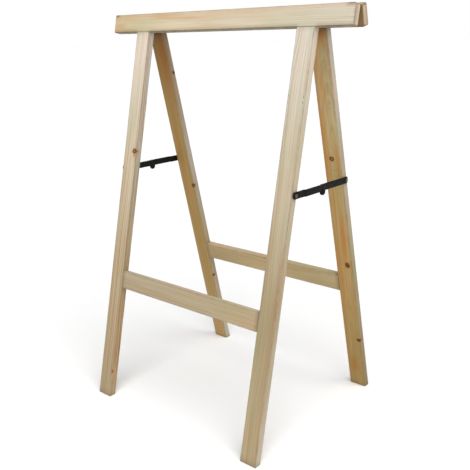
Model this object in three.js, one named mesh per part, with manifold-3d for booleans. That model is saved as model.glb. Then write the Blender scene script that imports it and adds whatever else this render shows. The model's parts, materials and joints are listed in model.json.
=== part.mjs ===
// A folding sawhorse: two pine frames hinged together along their top beams and
// held apart by a jointed steel stay on each side. Millimetres, +Z up, X along the
// beams, Y across them; the front frame stands on the -Y side.

import * as THREE from 'three';
import { mergeVertices } from 'three/addons/utils/BufferGeometryUtils.js';
import Module from 'manifold-3d';

const wasm = await Module();
wasm.setup();

// ---------- driving dimensions ----------
const OVERALL_HEIGHT = 750;
const BEAM_LENGTH = 560;
const BATTEN_WIDTH = 35;
const BATTEN_THICK = 14;
const BATTEN_EDGE = 1.5;          // rounding of the long edges
const BEAM_CORNER = 3;            // rounding of the beam's end corners, seen face on
const LEG_INSET = 70;             // from the end of the beam to the leg
const LEAN_DEG = 12.9;            // each frame leans this far from upright
const STRETCHER_DROP = 506;       // top of the beam to top of the stretcher, along the frame
const GAP = 0.3;                  // clearance between pieces that touch

// dowels: two in every joint of the frames
const DOWEL_RADIUS = 3;
const DOWEL_LENGTH = 30;
const DOWEL_CHAMFER = 0.8;
const DOWEL_PITCH = 18;
const DOWEL_END_ROOM = 0.5;       // left free at each end of the hole

// butt hinges between the beams
const HINGE_X = 125;              // distance of each hinge from the middle
const HINGE_LENGTH = 50;
const HINGE_LEAF_HEIGHT = 22;
const HINGE_LEAF_THICK = 1;
const KNUCKLE_RADIUS = 2;
const PIN_RADIUS = 1;
const PIN_CHAMFER = 0.3;
const KNUCKLES = 3;
const HINGE_SCREW_PITCH = 30;
const HINGE_SCREW_DROP = 12;      // pin axis to hinge screw, down the leaf
const HINGE_SCREW_RADIUS = 1.25;
const HINGE_SCREW_HEAD = 2.5;
const HINGE_SCREW_LENGTH = 10;
const HINGE_SCREW_POINT = 1.5;    // length of the tapered point

// stays: two flat bars a side, riveted together in the middle
const STAY_DROP = 303;            // top of the beam to the stay screw, along the frame
const BAR_WIDTH = 12;
const BAR_THICK = 1.8;
const STEPPED_BAR = { overhang: 6.5, corner: 4 };   // overhang: bar end beyond its screw
const PLAIN_BAR = { overhang: 4, corner: 2 };
const BAR_STEP_AT = 24;           // screw to the middle of the step in the stepped bar
const BAR_STEP_RUN = 4;
const BAR_TIP_CORNER = 2;
const EAR_RADIUS = 6;             // the bar ends flush with the ear, this far past the rivet
const EAR_DROP = 7;               // rivet below the middle line of the bars
const EAR_FILLET = 2;
const RIVET_RADIUS = 2;
const RIVET_HEAD_RADIUS = 3.6;
const RIVET_HEAD_THICK = 1.6;
const RIVET_BACK_THICK = 1;
const WASHER_RADIUS = 5;
const WASHER_THICK = 1;
const SCREW_RADIUS = 2;
const SCREW_LENGTH = 25;
const SCREW_POINT = 3;
const SCREW_HEAD_RADIUS = 3.2;
const SCREW_HEAD_THICK = 1.8;
const SCREW_SLOT_WIDTH = 1;
const SCREW_SLOT_DEPTH = 0.8;
const SCREW_SLOT_REACH = 2;

const ROUND_SEGMENTS = 20;        // facets around a small round piece
const CORNER_SEGMENTS = 3;        // facets on a rounded corner

// ---------- worked-out dimensions ----------
const LEAN = THREE.MathUtils.degToRad(LEAN_DEG);
const PIN_OFFSET = KNUCKLE_RADIUS + GAP;          // pin axis to the inner face of a beam
const PIN_DROP = KNUCKLE_RADIUS + GAP;            // pin axis below the top of a beam
const PIN_HEIGHT = OVERALL_HEIGHT
  - (PIN_OFFSET + BATTEN_THICK) * Math.sin(LEAN) - PIN_DROP * Math.cos(LEAN);
const MID_THICK_Y = -(PIN_OFFSET + BATTEN_THICK / 2);   // middle of a front batten, frame upright
const LEG_OUTER_X = BEAM_LENGTH / 2 - LEG_INSET;
const LEG_MID_X = LEG_OUTER_X - BATTEN_WIDTH / 2;
const LEG_INNER_X = LEG_OUTER_X - BATTEN_WIDTH;
const BEAM_MID_Z = PIN_DROP - BATTEN_WIDTH / 2;
const BEAM_BOTTOM_Z = PIN_DROP - BATTEN_WIDTH;
const STRETCHER_MID_Z = PIN_DROP - STRETCHER_DROP - BATTEN_WIDTH / 2;
const LEG_LENGTH = OVERALL_HEIGHT / Math.cos(LEAN);     // longer than needed; cut off at the floor
const STAY_SCREW_Z = PIN_DROP - STAY_DROP;
const HOLE_REACH = DOWEL_LENGTH / 2 + DOWEL_END_ROOM;

// distances out from the side of the leg to the two planes the bars lie in
const NEAR_PLANE = GAP + WASHER_THICK + GAP;
const FAR_PLANE = NEAR_PLANE + BAR_THICK + GAP;

const PINE = { color: 0xdcc39a, roughness: 0.72, metalness: 0 };
const BEECH = { color: 0xcfae82, roughness: 0.65, metalness: 0 };
const BLACK_STEEL = { color: 0x17191a, roughness: 0.5, metalness: 0.6 };
const BRIGHT_STEEL = { color: 0xb9b6ae, roughness: 0.35, metalness: 0.9 };

const group = new THREE.Group();
group.name = 'folding_sawhorse';

// ---------- solids ----------

function toSolid(geometry) {
  const bare = new THREE.BufferGeometry();
  bare.setAttribute('position', geometry.getAttribute('position'));
  if (geometry.index) bare.setIndex(geometry.index);
  const merged = mergeVertices(bare, 1e-4);
  return new wasm.Manifold(new wasm.Mesh({
    numProp: 3,
    vertProperties: new Float32Array(merged.getAttribute('position').array),
    triVerts: new Uint32Array(merged.index.array),
  }));
}

function toGeometry(solid) {
  const mesh = solid.getMesh();
  const geometry = new THREE.BufferGeometry();
  geometry.setAttribute('position', new THREE.BufferAttribute(new Float32Array(mesh.vertProperties), 3));
  geometry.setIndex(new THREE.BufferAttribute(new Uint32Array(mesh.triVerts), 1));
  const faceted = geometry.toNonIndexed();
  faceted.computeVertexNormals();
  return faceted;
}

function addPiece(name, solid, look) {
  const material = new THREE.MeshStandardMaterial({ ...look, name: `${name}_material` });
  const mesh = new THREE.Mesh(toGeometry(solid), material);
  mesh.name = name;
  group.add(mesh);
}

function roundedRectangle(width, height, radius) {
  const w = width / 2;
  const h = height / 2;
  const shape = new THREE.Shape();
  shape.moveTo(-w + radius, -h);
  shape.lineTo(w - radius, -h);
  shape.absarc(w - radius, -h + radius, radius, -Math.PI / 2, 0, false);
  shape.lineTo(w, h - radius);
  shape.absarc(w - radius, h - radius, radius, 0, Math.PI / 2, false);
  shape.lineTo(-w + radius, h);
  shape.absarc(-w + radius, h - radius, radius, Math.PI / 2, Math.PI, false);
  shape.lineTo(-w, -h + radius);
  shape.absarc(-w + radius, -h + radius, radius, Math.PI, Math.PI * 1.5, false);
  return shape;
}

function extrude(shape, depth, options = {}) {
  return new THREE.ExtrudeGeometry(shape, {
    depth, bevelEnabled: false, curveSegments: CORNER_SEGMENTS, ...options,
  });
}

// a shape drawn in Y and Z, given thickness from x0 to x1
function slabAcrossX(shape, x0, x1, options) {
  const low = Math.min(x0, x1);
  const geometry = extrude(shape, Math.abs(x1 - x0), options);
  const basis = new THREE.Matrix4().makeBasis(
    new THREE.Vector3(0, 1, 0), new THREE.Vector3(0, 0, 1), new THREE.Vector3(1, 0, 0));
  geometry.applyMatrix4(basis).translate(low, 0, 0);
  return toSolid(geometry);
}

function box(x0, x1, y0, y1, z0, z1) {
  const geometry = new THREE.BoxGeometry(x1 - x0, y1 - y0, z1 - z0);
  geometry.translate((x0 + x1) / 2, (y0 + y1) / 2, (z0 + z1) / 2);
  return toSolid(geometry);
}

// a turned piece: profile points are [radius, height]; its axis is then laid along a direction
function turned(profile, direction, at) {
  const points = profile.map(([r, h]) => new THREE.Vector2(r, h));
  const geometry = new THREE.LatheGeometry(points, ROUND_SEGMENTS);
  const turn = new THREE.Quaternion().setFromUnitVectors(new THREE.Vector3(0, 1, 0), direction);
  geometry.applyQuaternion(turn).translate(at.x, at.y, at.z);
  return toSolid(geometry);
}

function rod(radius, length, direction, at, chamfer = 0) {
  const profile = chamfer > 0
    ? [[0, 0], [radius - chamfer, 0], [radius, chamfer], [radius, length - chamfer],
      [radius - chamfer, length], [0, length]]
    : [[0, 0], [radius, 0], [radius, length], [0, length]];
  return turned(profile, direction, at);
}

const ALONG_X = new THREE.Vector3(1, 0, 0);
const UPWARD = new THREE.Vector3(0, 0, 1);
const INTO_WOOD = new THREE.Vector3(0, -1, 0);   // from the open side of a front hinge leaf

// ---------- standing a frame up ----------

// A frame is drawn upright with the hinge pin on the X axis and the wood on the -Y side.
// The front frame then leans; the rear frame is the same one turned half round.
function stand(solid, isRear) {
  const placed = solid.rotate([-LEAN_DEG, 0, 0]).translate([0, 0, PIN_HEIGHT]);
  return isRear ? placed.rotate([0, 0, 180]) : placed;
}

// ---------- pine battens ----------

function beamBlank() {
  const inner = BATTEN_WIDTH - 2 * BATTEN_EDGE;
  const shape = roundedRectangle(BEAM_LENGTH - 2 * BATTEN_EDGE, inner, BEAM_CORNER - BATTEN_EDGE);
  const geometry = extrude(shape, BATTEN_THICK - 2 * BATTEN_EDGE, {
    bevelEnabled: true, bevelThickness: BATTEN_EDGE, bevelSize: BATTEN_EDGE, bevelSegments: 3,
  });
  geometry.translate(0, 0, -BATTEN_THICK / 2 + BATTEN_EDGE);
  geometry.rotateX(Math.PI / 2).translate(0, MID_THICK_Y, BEAM_MID_Z);
  return toSolid(geometry);
}

function legBlank(x) {
  const geometry = extrude(roundedRectangle(BATTEN_WIDTH, BATTEN_THICK, BATTEN_EDGE), LEG_LENGTH);
  geometry.translate(x, MID_THICK_Y, BEAM_BOTTOM_Z - GAP - LEG_LENGTH);
  return toSolid(geometry);
}

function stretcherBlank() {
  const reach = LEG_INNER_X - GAP;
  const section = roundedRectangle(BATTEN_THICK, BATTEN_WIDTH, BATTEN_EDGE);
  return slabAcrossX(section, -reach, reach).translate([0, MID_THICK_Y, STRETCHER_MID_Z]);
}

// ---------- where the dowels go ----------

// one entry per dowel: its middle, its direction and the two battens it joins
function dowelPlan() {
  const plan = [];
  for (const [side, word] of [[-1, 'a'], [1, 'b']]) {
    for (const [step, count] of [[-0.5, 1], [0.5, 2]]) {
      const legX = side * LEG_MID_X + step * DOWEL_PITCH;
      plan.push({
        name: `top_${word}${count}`,
        direction: UPWARD,
        middle: new THREE.Vector3(legX, MID_THICK_Y, BEAM_BOTTOM_Z - GAP / 2),
        joins: ['beam', `leg_${word}`],
      });
      plan.push({
        name: `low_${word}${count}`,
        direction: ALONG_X,
        middle: new THREE.Vector3(side * (LEG_INNER_X - GAP / 2), MID_THICK_Y,
          STRETCHER_MID_Z + step * DOWEL_PITCH),
        joins: ['stretcher', `leg_${word}`],
      });
    }
  }
  return plan;
}

function dowelSolid(dowel) {
  const start = dowel.middle.clone().addScaledVector(dowel.direction, -DOWEL_LENGTH / 2);
  return rod(DOWEL_RADIUS, DOWEL_LENGTH, dowel.direction, start, DOWEL_CHAMFER);
}

function dowelHole(dowel) {
  const start = dowel.middle.clone().addScaledVector(dowel.direction, -HOLE_REACH);
  return rod(DOWEL_RADIUS + GAP, 2 * HOLE_REACH, dowel.direction, start);
}

// ---------- hinges ----------

const HINGE_SCREW_FACE_Y = -(PIN_OFFSET - GAP - HINGE_LEAF_THICK);   // open side of the leaf

function hingeScrewPlaces(hingeX) {
  return [-0.5, 0.5].map((step) => new THREE.Vector3(
    hingeX + step * HINGE_SCREW_PITCH, HINGE_SCREW_FACE_Y, -HINGE_SCREW_DROP));
}

// countersunk screw, driven in the -Y direction
function hingeScrew(place) {
  return turned([
    [0, 0], [HINGE_SCREW_HEAD, 0], [HINGE_SCREW_RADIUS, HINGE_LEAF_THICK],
    [HINGE_SCREW_RADIUS, HINGE_SCREW_LENGTH - HINGE_SCREW_POINT], [0, HINGE_SCREW_LENGTH],
  ], INTO_WOOD, place);
}

function hingeScrewHole(place) {
  const head = HINGE_SCREW_HEAD + GAP;
  const shank = HINGE_SCREW_RADIUS + GAP;
  const bottom = HINGE_SCREW_LENGTH + GAP;
  return turned([
    [0, -HINGE_LEAF_THICK], [head, -HINGE_LEAF_THICK], [head, 0], [shank, HINGE_LEAF_THICK + GAP],
    [shank, bottom], [0, bottom],
  ], INTO_WOOD, place);
}

// the leaf screwed to an upright front beam; the rear leaf has the middle knuckle
function hingeLeaf(hingeX, hasMiddleKnuckle) {
  const start = hingeX - HINGE_LENGTH / 2;
  const pitch = HINGE_LENGTH / KNUCKLES;
  const back = -(PIN_OFFSET - GAP);
  const knuckles = [];
  for (let i = 0; i < KNUCKLES; i += 1) {
    knuckles.push({ x: start + i * pitch, own: (i % 2 === 1) === hasMiddleKnuckle });
  }
  let leaf = box(start, start + HINGE_LENGTH, back, back + HINGE_LEAF_THICK, -HINGE_LEAF_HEIGHT, 0);
  for (const { x } of knuckles.filter((knuckle) => knuckle.own)) {
    leaf = leaf.add(rod(KNUCKLE_RADIUS, pitch, ALONG_X, new THREE.Vector3(x, 0, 0)));
  }
  for (const { x } of knuckles.filter((knuckle) => !knuckle.own)) {
    const room = new THREE.Vector3(x - GAP / 2, 0, 0);
    leaf = leaf.subtract(rod(KNUCKLE_RADIUS + GAP, pitch + GAP, ALONG_X, room));
  }
  const boreStart = new THREE.Vector3(start - GAP, 0, 0);
  leaf = leaf.subtract(rod(PIN_RADIUS + GAP, HINGE_LENGTH + 2 * GAP, ALONG_X, boreStart));
  for (const place of hingeScrewPlaces(hingeX)) {
    leaf = leaf.subtract(hingeScrewHole(place));
  }
  return leaf;
}

// ---------- stays ----------

// where the stay screws and the rivet stand when the sawhorse is open
const upright = new THREE.Vector3(0, MID_THICK_Y, STAY_SCREW_Z);
const frontScrew = upright.clone().applyAxisAngle(ALONG_X, -LEAN).add(new THREE.Vector3(0, 0, PIN_HEIGHT));
const STAY_HALF_SPAN = -frontScrew.y;
const STAY_HEIGHT = frontScrew.z;

// Face outline of a bar. `flip` is 1 for one screwed to the front leg and -1 for the rear leg.
function barOutline(flip, { overhang, corner }) {
  const half = BAR_WIDTH / 2;
  const end = -STAY_HALF_SPAN - overhang;
  const tip = EAR_RADIUS;
  const fillet = EAR_RADIUS + EAR_FILLET;
  const rise = EAR_DROP - half - EAR_FILLET;
  const filletY = -Math.sqrt(fillet * fillet - rise * rise);
  const joinAngle = Math.PI - Math.asin(rise / fillet);
  const points = [];
  const put = (y, z) => points.push(new THREE.Vector2(flip * y, STAY_HEIGHT + z));
  const arc = (cy, cz, radius, from, to, steps) => {
    for (let i = 0; i <= steps; i += 1) {
      const angle = from + (to - from) * i / steps;
      put(cy + radius * Math.cos(angle), cz + radius * Math.sin(angle));
    }
  };
  const quarter = Math.PI / 2;
  arc(end + corner, half - corner, corner, quarter, 2 * quarter, CORNER_SEGMENTS);
  arc(end + corner, -half + corner, corner, 2 * quarter, 3 * quarter, CORNER_SEGMENTS);
  arc(filletY, -half - EAR_FILLET, EAR_FILLET, quarter, joinAngle - Math.PI, CORNER_SEGMENTS);
  arc(0, -EAR_DROP, EAR_RADIUS, joinAngle, 2 * Math.PI, 5 * CORNER_SEGMENTS);
  arc(tip - BAR_TIP_CORNER, half - BAR_TIP_CORNER, BAR_TIP_CORNER, 0, quarter, CORNER_SEGMENTS);
  return new THREE.Shape(points);
}

// The screw end of the stepped bar lies against the leg and the rest in the outer plane. Both
// stays are alike: the left one is the right one turned half round, so its stepped bar is the rear.
function steppedStrip(side) {
  const stepStart = -STAY_HALF_SPAN + BAR_STEP_AT - BAR_STEP_RUN / 2;
  const stepEnd = stepStart + BAR_STEP_RUN;
  const left = -STAY_HALF_SPAN - 2 * STEPPED_BAR.overhang;
  const right = 2 * EAR_RADIUS;
  const near = LEG_OUTER_X + NEAR_PLANE;
  const far = LEG_OUTER_X + FAR_PLANE;
  const shape = new THREE.Shape([
    [near, left], [near + BAR_THICK, left], [near + BAR_THICK, stepStart], [far + BAR_THICK, stepEnd],
    [far + BAR_THICK, right], [far, right], [far, stepEnd], [near, stepStart],
  ].map(([x, y]) => new THREE.Vector2(side * x, side * y)));
  const height = 2 * (EAR_DROP + EAR_RADIUS);
  return toSolid(extrude(shape, 2 * height).translate(0, 0, STAY_HEIGHT - height));
}

function barHoles(side, flip) {
  const start = side > 0 ? LEG_OUTER_X : -LEG_OUTER_X - 4 * FAR_PLANE;
  const screwHole = rod(SCREW_RADIUS + GAP, 4 * FAR_PLANE, ALONG_X,
    new THREE.Vector3(start, -flip * STAY_HALF_SPAN, STAY_HEIGHT));
  const rivetHole = rod(RIVET_RADIUS + GAP, 4 * FAR_PLANE, ALONG_X,
    new THREE.Vector3(start, 0, STAY_HEIGHT - EAR_DROP));
  return screwHole.add(rivetHole);
}

function steppedBar(side) {
  const outline = barOutline(side, STEPPED_BAR);
  const face = slabAcrossX(outline, side * LEG_OUTER_X, side * (LEG_OUTER_X + 2 * FAR_PLANE));
  return face.intersect(steppedStrip(side)).subtract(barHoles(side, side));
}

function plainBar(side) {
  const near = LEG_OUTER_X + NEAR_PLANE;
  const face = slabAcrossX(barOutline(-side, PLAIN_BAR), side * near, side * (near + BAR_THICK));
  return face.subtract(barHoles(side, -side));
}

// half a rivet: a domed head and the shank inside one bar. `out` is the way the head faces.
function rivetHalf(planeX, out, head) {
  return turned([
    [0, -BAR_THICK], [RIVET_RADIUS, -BAR_THICK], [RIVET_RADIUS, GAP], [RIVET_HEAD_RADIUS, GAP],
    [RIVET_HEAD_RADIUS, GAP + 0.4 * head], [0.8 * RIVET_HEAD_RADIUS, GAP + 0.75 * head],
    [0.45 * RIVET_HEAD_RADIUS, GAP + 0.95 * head], [0, GAP + head],
  ], new THREE.Vector3(out, 0, 0), new THREE.Vector3(planeX, 0, STAY_HEIGHT - EAR_DROP));
}

// a turned piece set square to the side of a leg, its heights counted out from the wood
function outFromLeg(profile, side, y) {
  const at = new THREE.Vector3(side * LEG_OUTER_X, y, STAY_HEIGHT);
  return turned(profile, new THREE.Vector3(side, 0, 0), at);
}

function stayScrewHole(side, y) {
  const bottom = -SCREW_LENGTH - GAP;
  const radius = SCREW_RADIUS + GAP;
  return outFromLeg([[0, bottom], [radius, bottom], [radius, NEAR_PLANE], [0, NEAR_PLANE]], side, y);
}

// pan head screw with a cross slot
function stayScrew(side, y) {
  const face = FAR_PLANE;
  const top = face + SCREW_HEAD_THICK;
  const screw = outFromLeg([
    [0, -SCREW_LENGTH], [SCREW_RADIUS, -SCREW_LENGTH + SCREW_POINT], [SCREW_RADIUS, face],
    [SCREW_HEAD_RADIUS, face], [SCREW_HEAD_RADIUS, face + 0.45 * SCREW_HEAD_THICK],
    [0.82 * SCREW_HEAD_RADIUS, face + 0.8 * SCREW_HEAD_THICK], [0.45 * SCREW_HEAD_RADIUS, top], [0, top],
  ], side, y);
  const floor = side * (LEG_OUTER_X + top - SCREW_SLOT_DEPTH);
  const above = side * (LEG_OUTER_X + top + SCREW_SLOT_DEPTH);
  const x0 = Math.min(floor, above);
  const x1 = Math.max(floor, above);
  const wide = SCREW_SLOT_WIDTH / 2;
  const reach = SCREW_SLOT_REACH;
  const upSlot = box(x0, x1, y - wide, y + wide, STAY_HEIGHT - reach, STAY_HEIGHT + reach);
  const acrossSlot = box(x0, x1, y - reach, y + reach, STAY_HEIGHT - wide, STAY_HEIGHT + wide);
  return screw.subtract(upSlot.add(acrossSlot));
}

function washer(side, y) {
  const bore = SCREW_RADIUS + GAP;
  const top = GAP + WASHER_THICK;
  return outFromLeg(
    [[bore, GAP], [WASHER_RADIUS, GAP], [WASHER_RADIUS, top], [bore, top], [bore, GAP]], side, y);
}

// ---------- putting a frame together ----------

function addFrame(word, isRear) {
  const aboveFloor = box(
    -BEAM_LENGTH, BEAM_LENGTH, -OVERALL_HEIGHT, OVERALL_HEIGHT, 0, 2 * OVERALL_HEIGHT);
  const battens = {
    beam: beamBlank(),
    leg_a: legBlank(-LEG_MID_X),
    leg_b: legBlank(LEG_MID_X),
    stretcher: stretcherBlank(),
  };
  for (const dowel of dowelPlan()) {
    for (const joined of dowel.joins) {
      battens[joined] = battens[joined].subtract(dowelHole(dowel));
    }
  }
  for (const hingeX of [-HINGE_X, HINGE_X]) {
    for (const place of hingeScrewPlaces(hingeX)) {
      battens.beam = battens.beam.subtract(hingeScrewHole(place));
    }
  }
  // turning the rear frame half round puts its "a" leg on the right
  const sideOf = { a: isRear ? 'right' : 'left', b: isRear ? 'left' : 'right' };
  for (const [kind, solid] of Object.entries(battens)) {
    let placed = stand(solid, isRear);
    const [piece, letter] = kind.split('_');
    let name = `${word}_${piece}`;
    if (letter) {
      const side = sideOf[letter] === 'left' ? -1 : 1;
      const y = isRear ? STAY_HALF_SPAN : -STAY_HALF_SPAN;
      placed = placed.intersect(aboveFloor).subtract(stayScrewHole(side, y));
      name += `_${sideOf[letter]}`;
    }
    addPiece(name, placed, PINE);
  }
  for (const dowel of dowelPlan()) {
    const [level, tail] = dowel.name.split('_');
    const name = `${word}_dowel_${level}_${sideOf[tail[0]]}_${tail[1]}`;
    addPiece(name, stand(dowelSolid(dowel), isRear), BEECH);
  }
}

function addHinges() {
  for (const [hingeX, side] of [[-HINGE_X, 'left'], [HINGE_X, 'right']]) {
    const pin = rod(PIN_RADIUS, HINGE_LENGTH, ALONG_X,
      new THREE.Vector3(hingeX - HINGE_LENGTH / 2, 0, PIN_HEIGHT), PIN_CHAMFER);
    addPiece(`hinge_${side}_pin`, pin, BRIGHT_STEEL);
    for (const [word, isRear] of [['front', false], ['rear', true]]) {
      const ownX = isRear ? -hingeX : hingeX;
      addPiece(`hinge_${side}_leaf_${word}`, stand(hingeLeaf(ownX, isRear), isRear), BRIGHT_STEEL);
      hingeScrewPlaces(ownX).forEach((place, i) => {
        addPiece(`hinge_${side}_screw_${word}_${i + 1}`, stand(hingeScrew(place), isRear), BRIGHT_STEEL);
      });
    }
  }
}

function addStays() {
  for (const [side, word] of [[-1, 'left'], [1, 'right']]) {
    const [stepped, plain] = side > 0 ? ['front', 'rear'] : ['rear', 'front'];
    addPiece(`stay_${word}_bar_${stepped}`, steppedBar(side), BLACK_STEEL);
    addPiece(`stay_${word}_bar_${plain}`, plainBar(side), BLACK_STEEL);
    const outerFace = side * (LEG_OUTER_X + FAR_PLANE + BAR_THICK);
    const innerFace = side * (LEG_OUTER_X + NEAR_PLANE);
    addPiece(`stay_${word}_rivet_outer`, rivetHalf(outerFace, side, RIVET_HEAD_THICK), BLACK_STEEL);
    addPiece(`stay_${word}_rivet_inner`, rivetHalf(innerFace, -side, RIVET_BACK_THICK), BLACK_STEEL);
    for (const [place, y] of [['front', -STAY_HALF_SPAN], ['rear', STAY_HALF_SPAN]]) {
      addPiece(`stay_${word}_screw_${place}`, stayScrew(side, y), BRIGHT_STEEL);
      addPiece(`stay_${word}_washer_${place}`, washer(side, y), BRIGHT_STEEL);
    }
  }
}

addFrame('front', false);
addFrame('rear', true);
addHinges();
addStays();

export default group;
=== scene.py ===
"""The looks of a folding sawhorse: bare pine battens, black steel stays and zinc-plated hardware."""

import json
import math
from collections import namedtuple
from contextlib import contextmanager

import bmesh
import bpy
from mathutils import Matrix, Vector


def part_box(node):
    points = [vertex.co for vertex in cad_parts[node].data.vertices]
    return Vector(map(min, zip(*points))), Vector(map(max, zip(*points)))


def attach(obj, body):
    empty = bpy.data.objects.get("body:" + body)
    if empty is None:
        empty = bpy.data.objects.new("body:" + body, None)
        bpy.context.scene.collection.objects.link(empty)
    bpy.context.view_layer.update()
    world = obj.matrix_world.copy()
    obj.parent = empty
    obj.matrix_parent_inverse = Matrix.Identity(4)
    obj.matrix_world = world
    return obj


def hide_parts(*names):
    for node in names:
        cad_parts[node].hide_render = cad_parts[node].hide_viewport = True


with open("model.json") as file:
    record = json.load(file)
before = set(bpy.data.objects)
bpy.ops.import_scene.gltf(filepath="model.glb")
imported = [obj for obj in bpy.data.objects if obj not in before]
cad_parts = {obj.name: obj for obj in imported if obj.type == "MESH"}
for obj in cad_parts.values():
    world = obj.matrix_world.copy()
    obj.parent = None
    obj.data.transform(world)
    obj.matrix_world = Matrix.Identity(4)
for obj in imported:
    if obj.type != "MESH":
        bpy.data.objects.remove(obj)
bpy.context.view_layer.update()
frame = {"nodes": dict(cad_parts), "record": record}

MM = 0.001
JOINTS = {joint["name"]: joint for joint in frame["record"]["behaviour"]["joints"]}
PIN = Vector(JOINTS["fold"]["pos_m"])
LEAN = math.radians(JOINTS["fold"]["range_deg"][1]) / 2
WORDS = {"front": -1, "rear": 1}  # which way each frame's outer side looks, along Y
SIDES = {"left": -1, "right": 1}
PIECES = ("beam", "leg_left", "leg_right", "stretcher")
SQUARE = ((-1, -1), (1, -1), (1, 1), (-1, 1))

CLEARANCE = 0.3 * MM  # the CAD model's gap between neighbouring parts
CORNER_STEPS = 5  # facets round the arris of a batten
FLAT_STEPS = 6  # facets over its flat faces
TURN_STEPS = 48  # facets round a turned piece


# ---- the frames, stood upright ----

def stand(word):
    """Takes a frame drawn upright, with the hinge pin as the X axis, to where it leans."""
    return Matrix.Translation(PIN) @ Matrix.Rotation(WORDS[word] * LEAN, 4, "X")


def upright_box(node, word):
    """Lowest and highest corner of a CAD node with its frame turned upright about the pin."""
    back = stand(word).inverted()
    corners = [back @ vertex.co for vertex in frame["nodes"][node].data.vertices]
    return (Vector(min(c[i] for c in corners) for i in range(3)),
            Vector(max(c[i] for c in corners) for i in range(3)))


# ---- node trees ----

class Shading:
    """The node tree of a material or world, with short ways to add nodes."""

    def __init__(self, name, kind="materials"):
        self.owner = getattr(bpy.data, kind).new(name)
        self.owner.use_nodes = True
        self.tree = self.owner.node_tree
        self.tree.nodes.clear()

    def node(self, kind, inputs=None, **settings):
        """Adds a node and fills its inputs, each with a value or another node's output."""
        made = self.tree.nodes.new(kind)
        for key, value in settings.items():
            setattr(made, key, value)
        for key, value in (inputs or {}).items():
            if isinstance(value, bpy.types.NodeSocket):
                self.tree.links.new(value, made.inputs[key])
            else:
                made.inputs[key].default_value = value
        return made

    def math(self, operation, a, b=0.0, clamp=False):
        return self.node("ShaderNodeMath", {0: a, 1: b}, operation=operation, use_clamp=clamp).outputs[0]

    def plus(self, a, b):
        return self.math("ADD", a, b)

    def minus(self, a, b):
        return self.math("SUBTRACT", a, b)

    def times(self, a, b):
        return self.math("MULTIPLY", a, b)

    def remap(self, value, low, high, to_low=0.0, to_high=1.0):
        """A smooth step from to_low to to_high as value goes from low to high."""
        inputs = dict(enumerate((value, low, high, to_low, to_high)))
        return self.node("ShaderNodeMapRange", inputs, interpolation_type="SMOOTHSTEP").outputs[0]

    def mix(self, share, a, b, blend="MIX"):
        inputs = {"Factor": share, "A": a, "B": b}
        return self.node("ShaderNodeMix", inputs, data_type="RGBA", blend_type=blend).outputs["Result"]

    def lay(self, color, share, strength=1.0):
        """Lays a colour over the surface's own by share times strength."""
        self.color = self.mix(self.times(share, strength), self.color, color)

    def stretch(self, vector, scale):
        return self.node("ShaderNodeVectorMath", {0: vector, 1: scale}, operation="MULTIPLY").outputs[0]

    def noise(self, vector, seed, scale=1.0, detail=2.0, rough=0.5):
        inputs = {"Vector": vector, "W": seed, "Scale": scale, "Detail": detail, "Roughness": rough}
        return self.node("ShaderNodeTexNoise", inputs, noise_dimensions="4D").outputs["Fac"]

    def signed(self, value, size):
        """Noise of 0 to 1 as a swing of plus or minus size."""
        return self.times(self.minus(value, 0.5), 2 * size)

    def attribute(self, name, output):
        return self.node("ShaderNodeAttribute", attribute_name=name).outputs[output]

    def place(self, kind):
        return self.node("ShaderNodeTexCoord").outputs[kind]

    def split(self, vector):
        return tuple(self.node("ShaderNodeSeparateXYZ", {0: vector}).outputs)

    def surface(self, roughness, height, bump, depth, metallic=0.0, specular=0.5):
        """Joins everything to one Principled shader and returns the finished material."""
        bumps = self.node("ShaderNodeBump", {"Strength": bump, "Distance": depth, "Height": height})
        shader = self.node("ShaderNodeBsdfPrincipled", {
            "Base Color": self.color, "Roughness": roughness, "Metallic": metallic,
            "Specular IOR Level": specular, "Normal": bumps.outputs["Normal"]})
        self.node("ShaderNodeOutputMaterial", {"Surface": shader.outputs["BSDF"]})
        return self.owner


def srgb(red, green, blue):
    """A colour given as 0 to 255 on screen, as linear light."""
    def one(value):
        value /= 255
        return value / 12.92 if value <= 0.04045 else ((value + 0.055) / 1.055) ** 2.4
    return (one(red), one(green), one(blue), 1.0)


# ---- pine ----

CREAM_WOOD = srgb(231, 217, 190)
ROSY_WOOD = srgb(229, 205, 176)
GREEN_WOOD = srgb(218, 209, 178)
LATE_WOOD = srgb(182, 138, 90)
HEART_OLIVE = srgb(197, 171, 117)
HEART_ORANGE = srgb(208, 154, 88)
STAIN = srgb(208, 132, 56)
KNOT_PALE = srgb(190, 126, 74)
KNOT_DARK = srgb(92, 34, 8)
END_WOOD = srgb(224, 198, 170)
# dirt, dents and worn arrises, and the painted shade that is laid as dirt
GRIME_AND_SHADE = srgb(88, 80, 62)
AWAY_TINT = (0.74, 0.73, 0.69, 1.0)  # faces that look back, left or down

# noise in the wood: a number that picks it, and how fast it changes along, across and through, per metre
Pattern = namedtuple("Pattern", "number stretch scale detail rough", defaults=((1, 1, 1), 1, 2, 0.5))
WANDER_ACROSS = Pattern(0, (1.7, 9, 9), detail=1)
FIBRES = Pattern(1, (28, 1300, 1300), detail=3, rough=0.6)
FINE_STREAKS = Pattern(2, (5, 190, 190), detail=3, rough=0.55)
RIPPLE = Pattern(3, (9, 60, 60), detail=3)
HEART_BANDS = Pattern(4, (3, 120, 60), detail=3)
CLOUDS = Pattern(5, (5, 70, 70), detail=3)
RESIN_CANALS = Pattern(6, (75, 1900, 1900), detail=1)
WANDER_THROUGH = Pattern(7, (2.6, 16, 16), detail=1)
HAZE = Pattern(8, (6, 50, 50))
PATCHES = Pattern(9, scale=55, detail=4, rough=0.65)
RING_STRENGTH = Pattern(11, (3, 30, 30))
PORES = Pattern(13, scale=2600)
KNOT_EDGE = Pattern(20, scale=300)
STREAK_EDGE = Pattern(40, (14, 160, 160), detail=3)
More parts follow.
